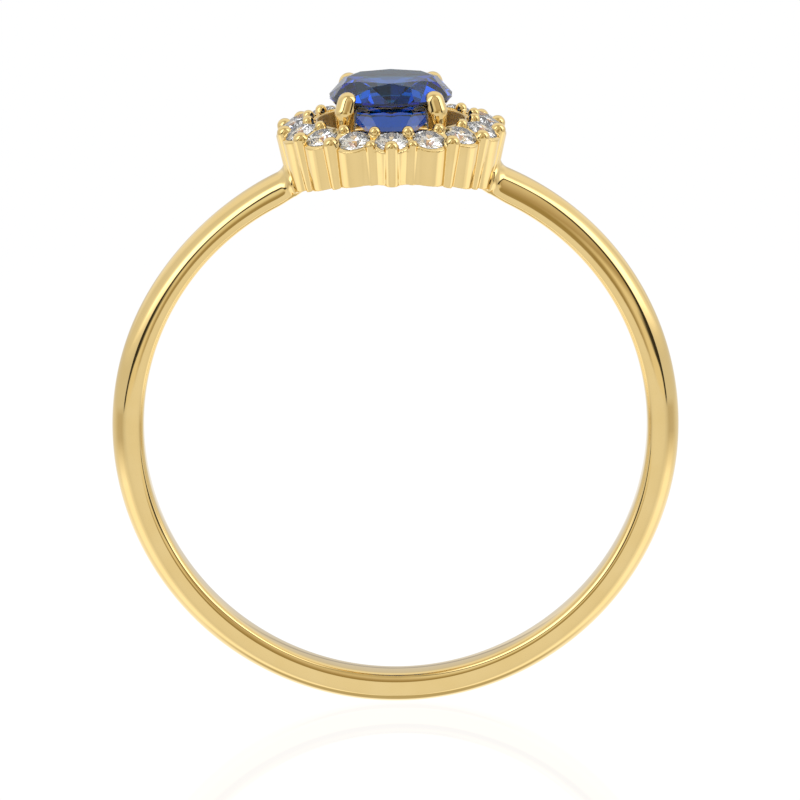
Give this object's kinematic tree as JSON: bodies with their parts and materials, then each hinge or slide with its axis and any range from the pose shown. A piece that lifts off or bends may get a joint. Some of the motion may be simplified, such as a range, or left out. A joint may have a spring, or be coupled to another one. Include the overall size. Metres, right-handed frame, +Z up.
{
  "type": "engagement ring",
  "caption": "Cluster ring: a round blue stone in a raised four-claw basket inside a scalloped halo of small white stones, on a plain slim half-round band.",
  "frame": {"origin": "centre of the finger hole, midway across the band's width", "axes": "+Y along the finger, +Z up to the sapphire; the wearer's knuckle and fingertip lie along Y"},
  "size_m": [0.0186, 0.0078, 0.0208],
  "materials": {
    "gold": "mirror polished yellow gold",
    "sapphire": "faceted and polished, transparent deep blue",
    "diamond": "faceted and polished, colourless"
  },
  "bodies": {
    "root": {"back_claw": "gold", "base_ring": "gold", "basket_claw_1": "gold", "basket_claw_2": "gold", "basket_claw_3": "gold", "basket_claw_4": "gold", "diamond_01": "diamond", "diamond_02": "diamond", "diamond_03": "diamond", "diamond_04": "diamond", "diamond_05": "diamond", "diamond_06": "diamond", "diamond_07": "diamond", "diamond_08": "diamond", "diamond_09": "diamond", "diamond_10": "diamond", "diamond_11": "diamond", "diamond_12": "diamond", "diamond_13": "diamond", "diamond_14": "diamond", "diamond_15": "diamond", "diamond_16": "diamond", "front_claw": "gold", "gallery_rail": "gold", "halo_tray": "gold", "inner_bead_01": "gold", "inner_bead_02": "gold", "inner_bead_03": "gold", "inner_bead_04": "gold", "inner_bead_05": "gold", "inner_bead_06": "gold", "inner_bead_07": "gold", "inner_bead_08": "gold", "inner_bead_09": "gold", "inner_bead_10": "gold", "inner_bead_11": "gold", "inner_bead_12": "gold", "inner_bead_13": "gold", "inner_bead_14": "gold", "inner_bead_15": "gold", "inner_bead_16": "gold", "outer_claw_01": "gold", "outer_claw_02": "gold", "outer_claw_03": "gold", "outer_claw_04": "gold", "outer_claw_05": "gold", "outer_claw_06": "gold", "outer_claw_07": "gold", "outer_claw_08": "gold", "outer_claw_09": "gold", "outer_claw_10": "gold", "outer_claw_11": "gold", "outer_claw_12": "gold", "outer_claw_13": "gold", "outer_claw_14": "gold", "outer_claw_15": "gold", "outer_claw_16": "gold", "sapphire": "sapphire", "shank": "gold"}
  },
  "joints": []
}
